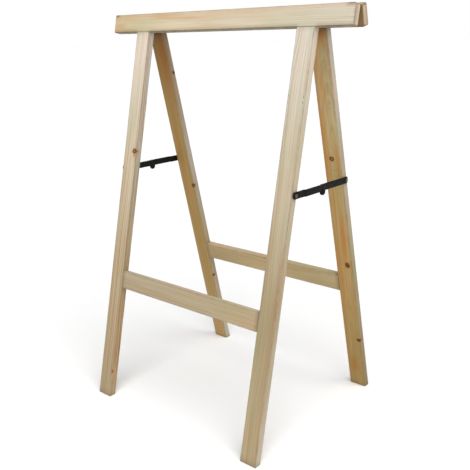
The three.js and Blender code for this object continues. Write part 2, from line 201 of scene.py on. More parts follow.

# pith (across, through) and ring spacing in mm, tints of wide and narrow faces from end to end in
# percent, partly the wood's own tone and partly painted light and shade, and how strong the log's
# lines, heartwood and taper are
Log = namedtuple("Log", "seed pith spacing face flank lines heart taper", defaults=(0.4, 0.0, 0.0))
Knot = namedtuple("Knot", "at half heart rim halo")
Streak = namedtuple("Streak", "at half strength")
Dent = namedtuple("Dent", "at half")


class Pine(Shading):
    """Pine cut from a log, read along, across and through the batten, in metres from its middle."""

    def __init__(self, name, log, half):
        super().__init__(name)
        self.log = log
        self.half = half
        self.own = self.attribute("grain", "Vector")
        self.along, self.across, self.through = self.split(self.own)
        self.ripple = self.pattern(RIPPLE)
        self.haze = self.pattern(HAZE)
        self.fibre = self.pattern(FIBRES)
        self.patches = self.pattern(PATCHES)
        from_side = self.minus(half.y, self.math("ABSOLUTE", self.across))
        self.on_wide_face = self.remap(from_side, 0.4 * MM, 1.6 * MM)
        self.color = CREAM_WOOD

    def pattern(self, kind, index=0):
        own = self.stretch(self.own, kind.stretch)
        return self.noise(own, self.log.seed + kind.number + index, kind.scale, kind.detail, kind.rough)

    def oval(self, centre, half, ragged=0.0):
        """Distance from a centre, 1 on an oval of the given half sizes along, across and through."""
        total = 0.0
        for part, middle, size in zip((self.along, self.across, self.through), centre, half):
            step = self.math("DIVIDE", self.minus(part, middle), size)
            total = self.plus(total, self.times(step, step))
        return self.plus(self.math("SQRT", total), ragged)

    def bell(self, distance, width):
        """1 at the centre, falling to almost nothing at twice the width."""
        ratio = self.math("DIVIDE", distance, width)
        return self.math("EXPONENT", self.times(self.times(ratio, ratio), -1.0))

    def ring_radius(self, knots):
        """Distance from the heart of the log, which wanders; the grain swerves round every knot."""
        pith_across, pith_through = self.log.pith
        side = self.minus(self.across, pith_across * MM)
        side = self.plus(side, self.signed(self.pattern(WANDER_ACROSS), 9 * MM))
        deep = self.minus(self.through, pith_through * MM)
        deep = self.plus(deep, self.signed(self.pattern(WANDER_THROUGH), 12 * MM))
        deep = self.plus(deep, self.times(self.along, self.log.taper))
        radius = self.math("SQRT", self.plus(self.times(side, side), self.times(deep, deep)))
        radius = self.plus(radius, self.signed(self.ripple, 0.9 * MM))
        for knot in knots:
            tall, wide, thick = knot.half
            push = self.bell(self.oval(knot.at, (2.2 * tall, wide, 2 * thick)), 2.0)
            radius = self.plus(radius, self.times(push, 1.6 * wide))
        return radius

    def late_wood(self, radius):
        """Where a ring darkens to its thin band of late wood; the rings are unevenly spaced."""
        year = self.math("DIVIDE", radius, self.log.spacing * MM)
        seed = self.plus(self.times(year, 0.45), self.log.seed)
        uneven = self.node("ShaderNodeTexNoise", {"W": seed}, noise_dimensions="1D").outputs["Fac"]
        phase = self.math("FRACT", self.plus(year, self.signed(uneven, 0.8)))
        late = self.times(self.remap(phase, 0.25, 0.8), self.remap(phase, 1.0, 0.88))
        return self.times(late, self.remap(self.pattern(RING_STRENGTH), 0.35, 0.65, 0.35, 1.0))

    def paint_wood(self, late):
        """Clouded pale wood with its rings, fine streaks and resin canals."""
        lines = self.log.lines
        streaky = self.pattern(FINE_STREAKS)
        self.lay(ROSY_WOOD, self.remap(self.pattern(CLOUDS), 0.4, 0.62))
        self.lay(GREEN_WOOD, self.remap(self.haze, 0.46, 0.62))
        if self.log.heart:
            self.paint_heartwood()
        self.lay(LATE_WOOD, late, lines)
        self.lay(LATE_WOOD, self.remap(streaky, 0.5, 0.72), 0.6 * lines)
        self.lay(CREAM_WOOD, self.remap(streaky, 0.5, 0.3), 0.5 * lines)
        self.lay(KNOT_PALE, self.remap(self.pattern(RESIN_CANALS), 0.68, 0.76), 0.25)

    def paint_heartwood(self):
        """Golden heartwood on the wide face that looks to the front."""
        on_front = self.remap(self.plus(self.through, self.half.z), 1.2 * MM, 0.4 * MM)
        golden = self.mix(self.remap(self.pattern(HEART_BANDS), 0.48, 0.66), HEART_OLIVE, HEART_ORANGE)
        self.lay(golden, self.times(on_front, self.on_wide_face), self.log.heart)

    def paint_streaks(self, streaks):
        for index, streak in enumerate(streaks):
            reach = self.oval(streak.at, streak.half, self.signed(self.pattern(STREAK_EDGE, index), 0.6))
            self.lay(STAIN, self.remap(reach, 1.3, 0.2), streak.strength)

    def paint_knots(self, knots):
        """Whorled knots, each with a stained halo and a dark, ragged, sunken rim."""
        for index, knot in enumerate(knots):
            reach = self.oval(knot.at, knot.half, self.signed(self.pattern(KNOT_EDGE, index), 0.25))
            self.lay(STAIN, self.bell(reach, 1.5), knot.halo)
            whorl = self.math("SINE", self.times(reach, 14.0))
            dark = self.remap(whorl, -1.0, 1.0, 0.75 * knot.heart, knot.heart)
            self.lay(self.mix(dark, KNOT_PALE, KNOT_DARK), self.remap(reach, 0.98, 0.8))
            rim = self.times(self.remap(reach, 0.5, 0.8), self.remap(reach, 1.3, 1.0))
            self.lay(KNOT_DARK, rim, knot.rim)
            self.height = self.minus(self.height, self.times(rim, 0.8 * knot.rim))

    def paint_dents(self, dents):
        for dent in dents:
            reach = self.oval(dent.at, dent.half, self.signed(self.ripple, 0.8))
            self.lay(GRIME_AND_SHADE, self.remap(reach, 1.2, 0.2), 0.55)

    def along_tints(self, rise, tints):
        """Blends evenly spaced tints, in percent, as rise goes from 0 to 1."""
        blended, *others = [(*(part / 100 for part in tint), 1.0) for tint in tints]
        gaps = len(others)
        for index, color in enumerate(others):
            blended = self.mix(self.remap(rise, index / gaps, (index + 1) / gaps), blended, color)
        return blended

    def tint_faces_with_light_and_shade(self):
        """Wide and narrow faces tinted apart, and both from end to end: partly the wood's own tone and
        partly painted light and shade.
        """
        rise = self.math("DIVIDE", self.plus(self.along, self.half.x), 2 * self.half.x)
        rise = self.math("ADD", rise, self.signed(self.haze, 0.12), clamp=True)
        looks_back = self.remap(self.through, -2 * MM, 2 * MM)
        looks_left = self.remap(self.across, 4 * MM, -4 * MM)
        wide = self.mix(looks_back, self.along_tints(rise, self.log.face), AWAY_TINT)
        narrow = self.mix(looks_left, self.along_tints(rise, self.log.flank), AWAY_TINT)
        # the painted light and shade is multiplied into the wood's colour here
        self.color = self.mix(1.0, self.color, self.mix(self.on_wide_face, narrow, wide), "MULTIPLY")

    def open_pores(self):
        pores = self.pattern(PORES)
        self.lay(END_WOOD, self.remap(pores, 0.35, 0.7, 0.7, 0.4))
        self.height = self.plus(self.height, self.times(pores, 1.2))

    def rub_edges(self):
        """Arrises go grey where they are handled."""
        self.lay(GRIME_AND_SHADE, self.attribute("edge", "Fac"), self.remap(self.patches, 0.68, 0.3, 0.15, 0.5))

    def soil_and_shade(self):
        # the marked dirt and painted shade, laid in one colour
        dirt_and_shade = self.times(self.attribute("grime_and_shade", "Fac"), self.remap(self.patches, 0.3, 0.62, 0.6, 1.0))
        self.lay(GRIME_AND_SHADE, dirt_and_shade, 0.85)


def pine(name, log, half, knots=(), streaks=(), dents=(), sawn_end=False):
    s = Pine(name, log, half)
    late = s.late_wood(s.ring_radius(knots))
    s.height = s.plus(s.times(late, 0.5), s.times(s.fibre, 0.5))
    s.paint_wood(late)
    s.paint_streaks(streaks)
    s.paint_knots(knots)
    s.paint_dents(dents)
    s.tint_faces_with_light_and_shade()
    if sawn_end:
        s.open_pores()
    else:
        s.rub_edges()
    s.soil_and_shade()
    s.lay(LATE_WOOD, s.remap(s.fibre, 0.7, 0.3), 0.07)
    polish = s.remap(late, 0.0, 1.0, 0.66, 0.52)
    roughness = s.math("ADD", polish, s.signed(s.patches, 0.1), clamp=True)
    return s.surface(roughness, s.height, 0.4 if sawn_end else 0.2, 0.25 * MM, specular=0.2)


# ---- other materials ----

BEECH_FLECKS = (1500, 1500, 180)  # per metre, in the object's own coordinates
PAINT_SCUFFS = (900, 160, 900)
ZINC_SCRATCHES = (260, 2600, 2600)


def beech():
    """Turned dowel rod: close grain with short dark flecks."""
    s = Shading("dowel_beech_look")
    place = s.place("Object")
    fleck = s.remap(s.noise(s.stretch(place, BEECH_FLECKS), 4), 0.6, 0.72)
    cloud = s.noise(place, 5, scale=120, detail=3)
    s.color = s.mix(cloud, srgb(208, 170, 122), srgb(186, 142, 96))
    s.lay(srgb(128, 86, 52), fleck, 0.5)
    return s.surface(s.remap(cloud, 0.2, 0.8, 0.55, 0.7), fleck, 0.2, 0.1 * MM)


def black_paint():
    """Semi-matt black finish on strip steel, thin on the edges, with faint handling marks."""
    s = Shading("black_steel_look")
    place = s.place("Object")
    cloud = s.noise(place, 2, scale=70, detail=4)
    grit = s.noise(place, 3, scale=2400)
    scuff = s.remap(s.noise(s.stretch(place, PAINT_SCUFFS), 6, detail=4, rough=0.7), 0.6, 0.72)
    flaky = s.remap(s.noise(place, 8, scale=420, detail=5, rough=0.7), 0.55, 0.68)
    chip = s.times(s.attribute("edge", "Fac"), flaky)
    s.color = s.mix(cloud, srgb(9, 10, 8), srgb(20, 19, 14))
    s.lay(srgb(52, 52, 48), scuff, 0.3)
    s.lay(srgb(104, 98, 90), chip, 0.5)
    roughness = s.minus(s.remap(cloud, 0.2, 0.8, 0.5, 0.66), s.times(scuff, 0.08))
    height = s.minus(s.times(grit, 0.5), chip)
    metallic = s.remap(chip, 0.0, 1.0, 0.0, 0.8)
    return s.surface(roughness, height, 0.25, 0.08 * MM, metallic, specular=0.12)


def zinc(name, pale, dull):
    """Bright zinc plating, clouded and finely scratched."""
    s = Shading(name)
    place = s.place("Object")
    cloud = s.noise(place, 12, scale=240, detail=4)
    scratch = s.noise(s.stretch(place, ZINC_SCRATCHES), 14, detail=3, rough=0.6)
    spots = s.remap(s.noise(place, 15, scale=900, detail=3), 0.62, 0.75)
    s.color = s.mix(s.remap(cloud, 0.3, 0.7), pale, dull)
    s.lay(srgb(120, 104, 84), spots, 0.5)
    roughness = s.plus(s.remap(cloud, 0.2, 0.8, 0.28, 0.44), s.signed(scratch, 0.08))
    return s.surface(roughness, scratch, 0.15, 0.05 * MM, s.remap(spots, 0.0, 1.0, 1.0, 0.6))


BEECH = beech()
BLACK = black_paint()
SCREW_ZINC = zinc("screw_zinc_look", srgb(130, 120, 114), srgb(96, 88, 82))
HINGE_ZINC = zinc("hinge_zinc_look", srgb(200, 199, 196), srgb(160, 158, 152))


# ---- mesh helpers ----

def new_object(name, data):
    made = bpy.data.objects.new(name, data)
    bpy.context.scene.collection.objects.link(made)
    return made


def add_piece(node, mesh, body, slot, *materials):
    """A piece that stands for a CAD node."""
    for material in materials:
        mesh.materials.append(material)
    piece = new_object(node + "_look", mesh)
    mesh.name = piece.name
    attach(piece, body)
    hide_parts(node)


def smooth_mesh(mesh, limit_deg=32):
    for polygon in mesh.polygons:
        polygon.use_smooth = True
    mesh.set_sharp_from_angle(angle=math.radians(limit_deg))


@contextmanager
def editing(mesh):
    work = bmesh.new()
    work.from_mesh(mesh)
    yield work
    work.to_mesh(mesh)
    work.free()


def solid(name, verts, faces):
    """A mesh whose faces all look outward."""
    mesh = bpy.data.meshes.new(name)
    mesh.from_pydata(verts, [], faces)
    with editing(mesh) as work:
        bmesh.ops.recalc_face_normals(work, faces=work.faces)
    return mesh


def set_floats(mesh, name, values):
    attribute = mesh.attributes.new(name, "FLOAT", "POINT")
    attribute.data.foreach_set("value", values)


def arc(centre, radius, start_deg, end_deg, steps):
    points = []
    for step in range(steps + 1):
        angle = math.radians(start_deg + (end_deg - start_deg) * step / steps)
        points.append(Vector((centre[0] + radius * math.cos(angle), centre[1] + radius * math.sin(angle))))
    return points


def circle(centre, radius):
    return arc(centre, radius, 0, 360, TURN_STEPS)[:-1]


def band(low, high):
    """The four-sided faces between two rings of as many points."""
    count = len(low)
    return [(low[i], low[(i + 1) % count], high[(i + 1) % count], high[i]) for i in range(count)]


def turned(profile, direction, at, closed=False):
    """A solid turned about `direction`; profile points are (radius, height) in metres."""
    turn = Vector((0, 0, 1)).rotation_difference(Vector(direction)).to_matrix().to_4x4()
    place = Matrix.Translation(at) @ turn
    verts, rings = [], []
    for radius, height in profile:
        if radius == 0:
            rings.append([len(verts)] * TURN_STEPS)
            verts.append(place @ Vector((0, 0, height)))
        else:
            rings.append(range(len(verts), len(verts) + TURN_STEPS))
            verts += [place @ Vector((*point, height)) for point in circle((0, 0), radius)]
    pairs = list(zip(rings, rings[1:]))
    if closed:
        pairs.append((rings[-1], rings[0]))
    # a face that touches the axis has a corner twice, and keeps it once
    faces = [tuple(dict.fromkeys(corners)) for low, high in pairs for corners in band(low, high)]
    mesh = solid("turned", verts, faces)
    smooth_mesh(mesh)
    return mesh


def drawn_in(points, distance):
    """An anticlockwise outline moved inwards by a small distance."""
    moved = []
    for before, here, after in zip(points[-1:] + points[:-1], points, points[1:] + points[:1]):
        first = (here - before).normalized()
        second = (after - here).normalized()
        normal = (Vector((-first.y, first.x)) + Vector((-second.y, second.x))).normalized()
        sharpness = max(0.5, normal.dot(Vector((-first.y, first.x))))
        moved.append(here + normal * (distance / sharpness))
    return moved


def plate(outline, holes, levels, placer):
    """A flat piece: `levels` are (height, inset), `holes` are (centre, [radius at each level]).

    placer(a, b, height) puts a point of the outline's plane into the row frame.
    """
    mesh = bpy.data.meshes.new("plate")
    with editing(mesh) as work:
        stacks = []
        for index, (height, inset) in enumerate(levels):
            loops = [drawn_in(outline, inset)] + [circle(centre, radii[index]) for centre, radii in holes]
            stacks.append([[work.verts.new(placer(p.x, p.y, height)) for p in loop] for loop in loops])
        for low, high in zip(stacks, stacks[1:]):
            for under, over in zip(low, high):
                for corners in band(under, over):
                    work.faces.new(corners)
        for stack in (stacks[0], stacks[-1]):
            edges = []
            for loop in stack:
                for pair in zip(loop, loop[1:] + loop[:1]):
                    edges.append(work.edges.get(pair) or work.edges.new(pair))
            bmesh.ops.triangle_fill(work, use_beauty=True, edges=edges)
        bmesh.ops.recalc_face_normals(work, faces=work.faces)
    return mesh


def eased_levels(thickness, edge):
    """Heights and insets of a plate whose edges are rounded on both faces."""
    steps = ((0, 1.0), (0.3, 0.35), (1.0, 0.0))
    low = [(edge * rise, edge * inset) for rise, inset in steps]
    high = [(thickness - edge * rise, edge * inset) for rise, inset in reversed(steps)]
    return low + high


# ---- battens ----

EDGE_ROUND = 1.7 * MM  # long edges of the battens
BEAM_CORNER = 3 * MM  # end corners of the beams, seen face on
END_BREAK = 0.35 * MM  # sanded arris at a sawn end
JOINT_CLOSE = 0.25 * MM  # how far a butted end reaches across the CAD clearance
RING_STEP = 9 * MM  # spacing of the cross-sections along a batten
EASE_STEPS = (0, 0.04, 0.15, 0.32, 0.55, 0.8, 1.0, 1.6)  # those near an end, in its rounding
FRONT_FACE = -7  # mm from mid-thickness to the face that looks to the front
DENT_HALF = (2.2, 1.1, 2)  # mm along, across and through, such as a clamp leaves


def section(half_wide, half_thick, corner):
    """Points of a rounded rectangle, with the share of each that is arris."""
    corner = min(corner, half_wide, half_thick)
    points = []
    for sign_a, sign_b, start in ((1, 1, 0), (-1, 1, 90), (-1, -1, 180), (1, -1, 270)):
        centre = (sign_a * (half_wide - corner), sign_b * (half_thick - corner))
        for step, point in enumerate(arc(centre, corner, start, start + 90, CORNER_STEPS)):
            points.append((point, math.sin(math.pi * (step + 0.5) / (CORNER_STEPS + 1))))
    spread = []
    for (here, arris), (after, _) in zip(points, points[1:] + points[:1]):
        spread.append((here, arris))
        is_flat = (after - here).length > 3 * corner
        if is_flat:
            spread += [(here.lerp(after, step / FLAT_STEPS), 0.0) for step in range(1, FLAT_STEPS)]
    return spread


def end_inset(from_end, radius):
    """How far a face is drawn in near an end rounded to `radius`."""
    if from_end >= radius:
        return 0.0
    return radius - math.sqrt(max(0.0, radius ** 2 - (radius - from_end) ** 2))


class Batten:
    """One batten, drawn with its frame upright; `half` is its half size along, across and through."""

    def __init__(self, word, piece):
        self.word = word
        self.node = f"{word}_{piece}"
        self.is_leg = piece.startswith("leg")
        self.low, self.high = upright_box(self.node, word)
        if self.is_leg:
            self.high.z += JOINT_CLOSE
        elif piece == "stretcher":
            self.low.x -= JOINT_CLOSE
            self.high.x += JOINT_CLOSE
        self.middle = (self.low + self.high) / 2
        size = (self.high - self.low) / 2
        self.half = Vector((size.z, size.x, size.y) if self.is_leg else (size.x, size.z, size.y))
        self.round_wide = BEAM_CORNER if piece == "beam" else END_BREAK
        self.round_thick = EDGE_ROUND if piece == "beam" else END_BREAK

    def section_places(self):
        """Places of the cross-sections, 0 to 1 from end to end, closer together at the ends."""
        length = 2 * self.half.x
        near = [self.round_wide * step / length for step in EASE_STEPS]
        count = round(length / RING_STEP)
        margin = 1.5 * near[-1]
        inner = [i / count for i in range(1, count) if margin < i / count < 1 - margin]
        return near + inner + [1 - t for t in reversed(near)]

    def foot_height(self, y):
        """Where the floor is, upright, at thickness position y."""
        turn = WORDS[self.word] * LEAN
        return -(PIN.z + y * math.sin(turn)) / math.cos(turn)

    def point(self, t, across, through):
        """A point t of the way along: in the batten's own coordinates, and in the upright frame."""
        y = self.middle.y + through
        if self.is_leg:
            foot = self.foot_height(y)
            z = foot + (self.high.z - foot) * t
            return Vector((z - self.middle.z, across, through)), Vector((self.middle.x + across, y, z))
        x = self.low.x + 2 * self.half.x * t
        return Vector((x - self.middle.x, across, through)), Vector((x, y, self.middle.z + across))

    def make_mesh(self, grime_and_shade):
        """The skin, each point marked with its place in the wood, its wear, and its dirt and painted
        shade.
        """
        place = stand(self.word)
        verts, grain, edge, dirt_and_shade, rings = [], [], [], [], []
        for t in self.section_places():
            from_end = min(t, 1 - t) * 2 * self.half.x
            half_wide = self.half.y - end_inset(from_end, self.round_wide)
            half_thick = self.half.z - end_inset(from_end, self.round_thick)
            end_wear = 0.8 * fading(from_end, 2 * self.round_thick)
            ring = section(half_wide, half_thick, EDGE_ROUND)
            rings.append(range(len(verts), len(verts) + len(ring)))
            for point, arris in ring:
                own, upright = self.point(t, point.x, point.y)
                verts.append(place @ upright)
                grain.extend(own)
                edge.append(max(arris, end_wear))
                dirt_and_shade.append(grime_and_shade(own, self.half))
        faces = [corners for low, high in zip(rings, rings[1:]) for corners in band(low, high)]
        faces += [tuple(reversed(rings[0])), tuple(rings[-1])]
        mesh = solid("batten", verts, faces)
        mesh.attributes.new("grain", "FLOAT_VECTOR", "POINT").data.foreach_set("vector", grain)
        set_floats(mesh, "edge", edge)
        set_floats(mesh, "grime_and_shade", dirt_and_shade)
        smooth_mesh(mesh, 40)
        for end in (-1, -2):
            mesh.polygons[end].material_index = 1
        return mesh

    def build(self, log, grime_and_shade, knots=(), streaks=(), dents=()):
        face = pine(self.node + "_face", log, self.half, knots, streaks, dents)
        end = pine(self.node + "_end", log, self.half, sawn_end=True)
        add_piece(self.node, self.make_mesh(grime_and_shade), f"{self.word}_frame", "pine", face, end)

    def spot(self, drop_mm, x_mm, half_mm, through_mm=FRONT_FACE):
        """A place drop_mm below the beam's top at x_mm, and a half size, in the batten's coordinates."""
        top = upright_box(f"{self.word}_beam", self.word)[1].z
        rise = top - drop_mm * MM - self.middle.z
        side = x_mm * MM - self.middle.x
        at = (rise, side, through_mm * MM) if self.is_leg else (side, rise, through_mm * MM)
        return at, tuple(size * MM for size in half_mm)

    def knot(self, drop_mm, x_mm, half_mm, heart, rim, halo, through_mm=FRONT_FACE):
        return Knot(*self.spot(drop_mm, x_mm, half_mm, through_mm), heart, rim, halo)

    def streak(self, drop_mm, x_mm, half_mm, strength):
        return Streak(*self.spot(drop_mm, x_mm, half_mm), strength)

    def dent(self, drop_mm, x_mm):
        return Dent(*self.spot(drop_mm, x_mm, DENT_HALF))


# ---- dirt and painted shade: how much there is at a point of a batten, in its own coordinates ----

def fading(distance, reach):
    """1 at no distance, falling evenly to 0 at `reach`."""
    return max(0.0, 1 - distance / reach)


def clamped(value):
    return min(1.0, max(0.0, value))


def beam_grime_and_shade(word, legs):
    """Painted shade along the underside of a beam, with a little dirt, except where the legs are glued on;
    darker too on the outward side at its ends, and along its top near the ends.
    """
    def grime_and_shade(own, half):
        from_end = half.x - abs(own.x)
        from_top = half.y - own.y
        from_below = half.y + own.y
        outward = clamped(0.5 + WORDS[word] * own.z / half.z)
        is_glued = any(leg.low.x < own.x < leg.high.x for leg in legs)
        # painted shade along the underside, with a little dirt
        below = (0.1 if is_glued else 0.95) * clamped((2.2 * MM - from_below) / (1.2 * MM))
        end = 0.75 * outward * fading(from_end, 1.5 * MM)
        top = outward * clamped((3 * MM - from_top) / (1.5 * MM)) * clamped(2 - from_end / (9 * MM))
        return max(below, end, top)
    return grime_and_shade


def leg_grime_and_shadow(joint_reach, joint_strength):
    """A foot picks up dirt over its last few millimetres, and a leg is dark where it is glued on; carried
    far down the leg, that dark band is painted shadow of the beam.
    """
    def grime_and_shade(own, half):
        foot = 0.6 * fading(half.x + own.x, 12 * MM)
        joint = joint_strength * fading(half.x - own.x, joint_reach)
        return max(foot, joint)
    return grime_and_shade


def stretcher_grime(own, half):
    """The dark line of glue where a stretcher meets the legs, and a darker lower edge."""
    joint = 0.9 * fading(half.x - abs(own.x), 1.5 * MM)
    below = 0.6 * clamped((1.5 * MM - (half.y + own.y)) / (1.2 * MM))
    return max(joint, below)


# ---- the two frames ----

def make_front_frame():
    beam, left, right, stretcher = (Batten("front", piece) for piece in PIECES)
    # tint lists run from the foot or left end: partly the wood's own tone and partly painted light and
    # shade, the legs darker towards their feet and paler, bluer at their tops
    log = Log(10, (-70, 46), 3.1,
              face=[(77, 74, 62), (86, 88, 86), (84, 87, 89), (92, 95, 107)],
              flank=[(72, 75, 72), (76, 78, 80)])
    beam.build(log, beam_grime_and_shade("front", (left, right)), streaks=[
        beam.streak(7, -140, (50, 4.8, 6), 0.3),
        beam.streak(12, -85, (85, 2.4, 6), 0.3),
        beam.streak(23.5, -262, (20, 7, 6), 0.22)])
    log = Log(11, (62, 14), 4.4, lines=0.85,
              face=[(53, 51, 44), (64, 63, 58), (79, 82, 84), (97, 100, 115)],
              flank=[(55, 50, 40), (49, 45, 37), (53, 55, 59), (67, 74, 91)])
    left.build(log, leg_grime_and_shadow(2 * MM, 0.3), knots=[
        left.knot(266, -180.5, (4.3, 4.8, 9), 0.4, 0.95, 0.6),
        left.knot(274, -180.5, (1.6, 2.2, 4), 0.1, 0.2, 0.7),
        left.knot(716, -175.5, (3.0, 2.0, 3), 0.1, 0.3, 0.5)
    ], streaks=[
        left.streak(330, -190, (60, 2.5, 8), 0.22),
        left.streak(450, -184, (90, 2.2, 8), 0.25)])
    log = Log(12, (-48, 80), 2.6, lines=0.42,
              face=[(54, 52, 43), (49, 47, 37), (72, 77, 77), (91, 102, 120)],
              flank=[(62, 68, 73), (52, 51, 45), (64, 66, 66), (82, 86, 96)])
    marks = [(144, 177.5), (155, 177), (145, 207), (154, 207)]
    right.build(log, leg_grime_and_shadow(2 * MM, 0.3), dents=[right.dent(drop, x) for drop, x in marks])
    log = Log(13, (-70, -60), 3.6, lines=0.45,
              face=[(55, 54, 49), (57, 56, 51), (63, 61, 53)],
              flank=[(68, 70, 68), (72, 73, 72)])
    stretcher.build(log, stretcher_grime)


def make_rear_frame():
    beam, left, right, stretcher = (Batten("rear", piece) for piece in PIECES)
    # tint lists run from the foot or left end, partly the wood's own tone and partly painted light and
    # shade; the rear beam's front face falls to 40% at its right end, painted shade in the gap between the
    # beams
    log = Log(110, (60, -52), 2.8, lines=0.35, heart=0.55,
              face=[(80, 80, 78), (40, 36.5, 31)],
              flank=[(74, 72, 68), (70, 70, 70)])
    beam.build(log, beam_grime_and_shade("rear", (left, right)))
    # the rear-left leg's tints darken towards its top: painted shadow under the beam, with the wood's own
    # tone
    log = Log(111, (-62, -50), 2.3, lines=0.5, heart=0.85,
              face=[(74, 70, 60), (62, 56, 38), (62, 55, 36), (54, 44, 27)],
              flank=[(61, 63, 68), (44, 41, 33), (49, 50, 53), (38, 33, 25)])
    # the 18 mm dark band under the beam is painted shadow, over the dark glue line
    left.build(log, leg_grime_and_shadow(18 * MM, 0.8), knots=[
        left.knot(362, -177.6, (4.4, 3.6, 5), 0.8, 0.7, 0.4),
        left.knot(116, -175, (3.0, 2.4, 3), 1.0, 0.9, 0.2, through_mm=3),
        left.knot(589, -175, (2.8, 2.4, 3), 1.0, 0.9, 0.2, through_mm=-4)
    ], streaks=[
        left.streak(70, -185, (90, 9, 8), 0.55),
        left.streak(300, -198, (200, 3, 8), 0.25)])
    log = Log(112, (4, -40), 2.4, lines=0.5, heart=0.95, taper=0.04,
              face=[(56, 51, 35), (72, 70, 58), (78, 80, 72), (86, 100, 114)],
              flank=[(32, 30, 21), (41, 39, 30), (55, 56, 56), (76, 87, 104)])
    # the 18 mm dark band under the beam is painted shadow, over the dark glue line
    right.build(log, leg_grime_and_shadow(18 * MM, 0.8), knots=[
        right.knot(262, 192, (3.8, 4.2, 9), 0.4, 1.0, 0.3),
        right.knot(478, 200, (5.0, 4.4, 12), 0.9, 0.8, 0.95),
        right.knot(650, 207, (3.4, 4.2, 5), 0.95, 0.8, 0.5)
    ], streaks=[
        # this first streak, at the top of the leg, is painted shadow of the beam, laid in stain colour
        right.streak(24, 192, (52, 26, 8), 1.0),
        right.streak(60, 179, (100, 4.5, 7), 0.4),
        right.streak(220, 179, (150, 5.5, 7), 0.6),
        right.streak(262, 205, (50, 4.5, 7), 0.65),
        right.streak(330, 187, (90, 3, 7), 0.4),
        right.streak(425, 198, (62, 7.5, 7), 0.75),
        right.streak(500, 181, (150, 5.5, 7), 0.5),
        right.streak(660, 180, (90, 5, 7), 0.3),
        right.streak(570, 205, (80, 3, 7), 0.35),
        right.streak(714, 190, (20, 8, 7), 0.6)])
    log = Log(113, (-50, 66), 2.4, lines=0.45, heart=0.3,
              face=[(57, 52, 40), (69, 66, 55), (64, 62, 50)],
              flank=[(66, 62, 52), (70, 66, 56)])
    stretcher.build(log, stretcher_grime)


# ---- stays ----

# both stays are alike, one turned half round from the other
STEPPED = {"left": "rear", "right": "front"}
PLAIN = {"left": "front", "right": "rear"}

BAR_WIDTH = 12 * MM
BAR_TIP_CORNER = 2 * MM
STEPPED_CORNER = 4 * MM  # corners at the screw end
PLAIN_CORNER = 2 * MM
BAR_STEP_AT = 24 * MM  # screw to the middle of the step in a stepped bar
BAR_STEP_RUN = 5 * MM
BAR_EDGE = 0.3 * MM
END_STEPS = 10  # facets round a corner at the screw end
BEND_STEPS = 8  # facets round the step, and round a small corner
EAR_RADIUS = 6 * MM
EAR_FILLET = 2 * MM
EAR_STEPS = 28
SCREW_HOLE = 2.3 * MM
FACE_WEAR = 0.15  # how thin the paint is on a bar's flat faces; 1 on its edges
RIVET_WEAR = 0.6

SHANK = 2 * MM  # radius of a stay screw's shank and of a rivet's
RIVET_BASE = 1.86 * MM  # inner end of a rivet half to the underside of its head
SCREW_HEAD = 1.8 * MM
SCREW_SUNK = 0.24 * MM  # how much lower a head sits than its CAD solid
SCREW_TIP = ((0.0, 0.0), (0.3 * SHANK, 0.6 * MM), (SHANK, 3 * MM))
WASHER_EDGE = 0.15 * MM
DRIVER_TURNS = {"front": 25, "rear": 62}
DRIVER_TOP = 0.4 * MM  # the cutter of a driver recess stands this far out of the head
DRIVER_HALF_WIDE = (0.55 * MM, 0.4 * MM)  # at its top and at its bottom
DRIVER_NARROWS = 0.45

# shares of a head's radius and height, from its underside to its top
RIVET_DOME = ((0.96, 0.0), (1.0, 0.12), (0.98, 0.3), (0.9, 0.52), (0.74, 0.73), (0.52, 0.88),
              (0.27, 0.97), (0.0, 1.0))
PAN_HEAD = ((0.94, 0.0), (1.0, 0.12), (1.0, 0.4), (0.95, 0.62), (0.82, 0.82), (0.62, 0.94),
            (0.35, 1.0), (0.0, 1.0))


def bar_outline(height, ear_drop, end, corner, flip):
    """The face of a bar in Y and Z, drawn for the front leg: screw end, lower edge, ear and tip."""
    half = BAR_WIDTH / 2
    rise = ear_drop - half - EAR_FILLET
    fillet = EAR_RADIUS + EAR_FILLET
    fillet_at = (-math.sqrt(fillet ** 2 - rise ** 2), -half - EAR_FILLET)
    meet = 180 - math.degrees(math.asin(rise / fillet))
    tip_at = (EAR_RADIUS - BAR_TIP_CORNER, half - BAR_TIP_CORNER)
    shape = arc((end + corner, half - corner), corner, 90, 180, END_STEPS)
    shape += arc((end + corner, -half + corner), corner, 180, 270, END_STEPS)
    shape += arc(fillet_at, EAR_FILLET, 90, meet - 180, BEND_STEPS)
    shape += arc((0, -ear_drop), EAR_RADIUS, meet, 360, EAR_STEPS)[1:]
    shape += arc(tip_at, BAR_TIP_CORNER, 0, 90, BEND_STEPS)
    shape = [Vector((flip * p.x, p.y + height)) for p in shape]
    return shape if flip > 0 else shape[::-1]


def bend_bar(mesh, half_span, flip, shift):
    """Steps the screw end of a stepped bar in towards the leg by `shift`, with a smooth bend."""
    start = -half_span + BAR_STEP_AT - BAR_STEP_RUN / 2
    with editing(mesh) as work:
        for step in range(BEND_STEPS + 1):
            cut = Vector((0, flip * (start + BAR_STEP_RUN * step / BEND_STEPS), 0))
            everything = [*work.verts, *work.edges, *work.faces]
            bmesh.ops.bisect_plane(work, geom=everything, plane_co=cut, plane_no=(0, 1, 0), dist=1e-7)
        for vert in work.verts:
            t = clamped((flip * vert.co.y - start) / BAR_STEP_RUN)
            vert.co.x -= shift * (1 - t * t * (3 - 2 * t))


def mark_edges(mesh, faces_x):
    """Marks the points of a bar that lie off its two flat faces, where paint wears first."""
    on_faces = [any(abs(vert.co.x - x) <= 0.02 * MM for x in faces_x) for vert in mesh.vertices]
    set_floats(mesh, "edge", [FACE_WEAR if on_face else 1.0 for on_face in on_faces])


